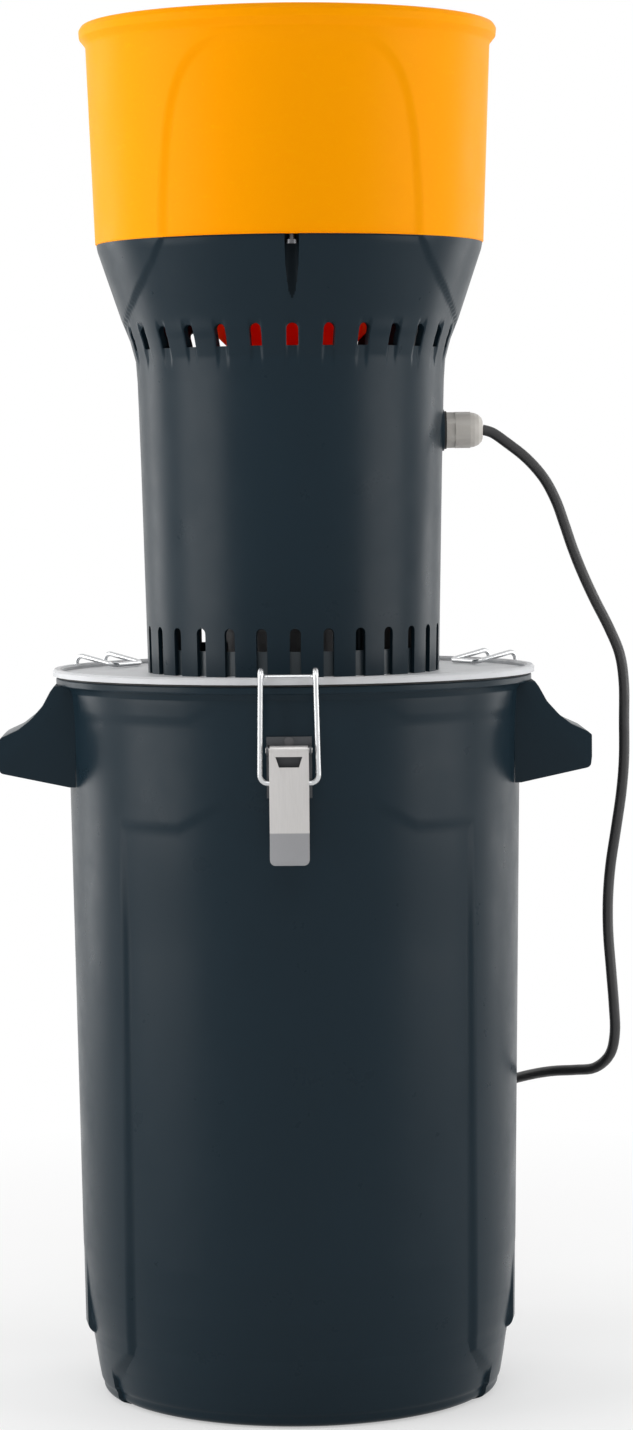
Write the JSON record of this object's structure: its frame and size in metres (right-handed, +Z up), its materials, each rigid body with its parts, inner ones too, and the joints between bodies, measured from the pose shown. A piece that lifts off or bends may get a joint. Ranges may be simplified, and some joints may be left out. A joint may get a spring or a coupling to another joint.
{
  "type": "electric grain mill",
  "caption": "Electric grain mill: round feed hopper on a slotted motor casing, clipped by its lid to a tall bucket with ear handles; a cord leaves a gland at the side.",
  "frame": {"origin": "centre of the bucket's flat base, on the floor", "axes": "+Z up along the bucket's axis, -Y towards the front latch, +X towards the cable gland"},
  "size_m": [0.4702, 0.4994, 1.017],
  "materials": {
    "navy_plastic": "fine-grained moulded, satin",
    "orange_plastic": "smooth moulded, satin",
    "lid_sheet": "powder coated, satin",
    "rubber_seal": "matt",
    "stainless": "brushed",
    "zinc_steel": "zinc plated",
    "motor_iron": "varnished laminations",
    "shield_aluminium": "cast",
    "copper": "enamelled wire",
    "black_plastic": "satin",
    "capacitor_case": "satin",
    "pale_plastic": "satin",
    "red_plastic": "gloss",
    "cord_rubber": "matt",
    "tie_fabric": "woven"
  },
  "bodies": {
    "housing": {"bucket": "navy_plastic", "latch_bracket_1": "stainless", "latch_bracket_2": "stainless", "latch_bracket_3": "stainless", "latch_pins": "stainless", "latch_rivets": "stainless", "lid_plate": "lid_sheet", "lid_gasket": "rubber_seal", "casing": "navy_plastic", "casing_screws": "zinc_steel", "hopper": "orange_plastic", "hopper_screws": "zinc_steel", "grain_chute": "black_plastic", "gate_screws": "zinc_steel", "motor_stator": "motor_iron", "motor_windings": "copper", "motor_shield_upper": "shield_aluminium", "motor_shield_lower": "shield_aluminium", "motor_tie_rods": "zinc_steel", "bearing_upper": "zinc_steel", "bearing_lower": "zinc_steel", "motor_bolts": "zinc_steel", "capacitor": "capacitor_case", "capacitor_clip": "zinc_steel", "terminal_block": "pale_plastic", "internal_lead": "cord_rubber", "gland_body": "pale_plastic", "gland_nut": "pale_plastic", "gland_locknut": "pale_plastic", "gland_washer": "rubber_seal", "switch_bezel": "black_plastic", "switch_body": "black_plastic", "sieve_screen": "stainless", "sieve_cover": "lid_sheet", "sieve_studs": "zinc_steel", "wing_nuts": "zinc_steel", "power_cord": "cord_rubber", "cord_coil": "cord_rubber", "cord_tie": "tie_fabric", "plug_body": "black_plastic", "plug_relief": "cord_rubber", "plug_pins": "stainless"},
    "feed_gate": {"feed_gate_disc": "stainless", "feed_gate_spindle": "stainless", "feed_gate_knob": "black_plastic", "feed_gate_clip": "stainless"},
    "rotor": {"rotor_core": "motor_iron", "motor_shaft": "zinc_steel", "cooling_fan": "black_plastic", "blade_upper": "stainless", "blade_lower": "stainless", "blade_spacer": "zinc_steel", "blade_nut": "zinc_steel"},
    "rocker": {"switch_rocker": "red_plastic"},
    "lever_1": {"latch_lever_1": "stainless"},
    "bail_1": {"latch_bail_1": "stainless"},
    "lever_2": {"latch_lever_2": "stainless"},
    "bail_2": {"latch_bail_2": "stainless"},
    "lever_3": {"latch_lever_3": "stainless"},
    "bail_3": {"latch_bail_3": "stainless"}
  },
  "joints": [
    {"name": "rotor_spin", "type": "hinge", "parent": "housing", "child": "rotor", "pos_m": [0, 0, 0.6], "axis": [0, 0, 1], "continuous": true},
    {"name": "feed_gate_turn", "type": "hinge", "parent": "housing", "child": "feed_gate", "pos_m": [0, 0, 0.8], "axis": [0, 0, 1], "range_deg": [0, 80]},
    {"name": "rocker_tip", "type": "hinge", "parent": "housing", "child": "rocker", "pos_m": [0, 0.1116, 0.655], "axis": [1, 0, 0], "range_deg": [-12, 0]},
    {"name": "lever_1_swing", "type": "hinge", "parent": "housing", "child": "lever_1", "pos_m": [-0.00623, -0.17839, 0.492], "axis": [-0.9994, 0.0349, 0], "range_deg": [0, 160]},
    {"name": "bail_1_swing", "type": "hinge", "parent": "lever_1", "child": "bail_1", "pos_m": [-0.00612, -0.17539, 0.4685], "axis": [-0.9994, 0.0349, 0], "range_deg": [-178, 0]},
    {"name": "lever_2_swing", "type": "hinge", "parent": "housing", "child": "lever_2", "pos_m": [0.15761, 0.0838, 0.492], "axis": [0.4695, -0.8829, 0], "range_deg": [0, 160]},
    {"name": "bail_2_swing", "type": "hinge", "parent": "lever_2", "child": "bail_2", "pos_m": [0.15496, 0.08239, 0.4685], "axis": [0.4695, -0.8829, 0], "range_deg": [-178, 0]},
    {"name": "lever_3_swing", "type": "hinge", "parent": "housing", "child": "lever_3", "pos_m": [-0.15138, 0.09459, 0.492], "axis": [0.5299, 0.848, 0], "range_deg": [0, 160]},
    {"name": "bail_3_swing", "type": "hinge", "parent": "lever_3", "child": "bail_3", "pos_m": [-0.14883, 0.093, 0.4685], "axis": [0.5299, 0.848, 0], "range_deg": [-178, 0]}
  ],
  "couplings": [
    {"joint": "bail_1_swing", "follows": "lever_1_swing", "ratio": -1.11},
    {"joint": "bail_2_swing", "follows": "lever_2_swing", "ratio": -1.11},
    {"joint": "bail_3_swing", "follows": "lever_3_swing", "ratio": -1.11}
  ]
}
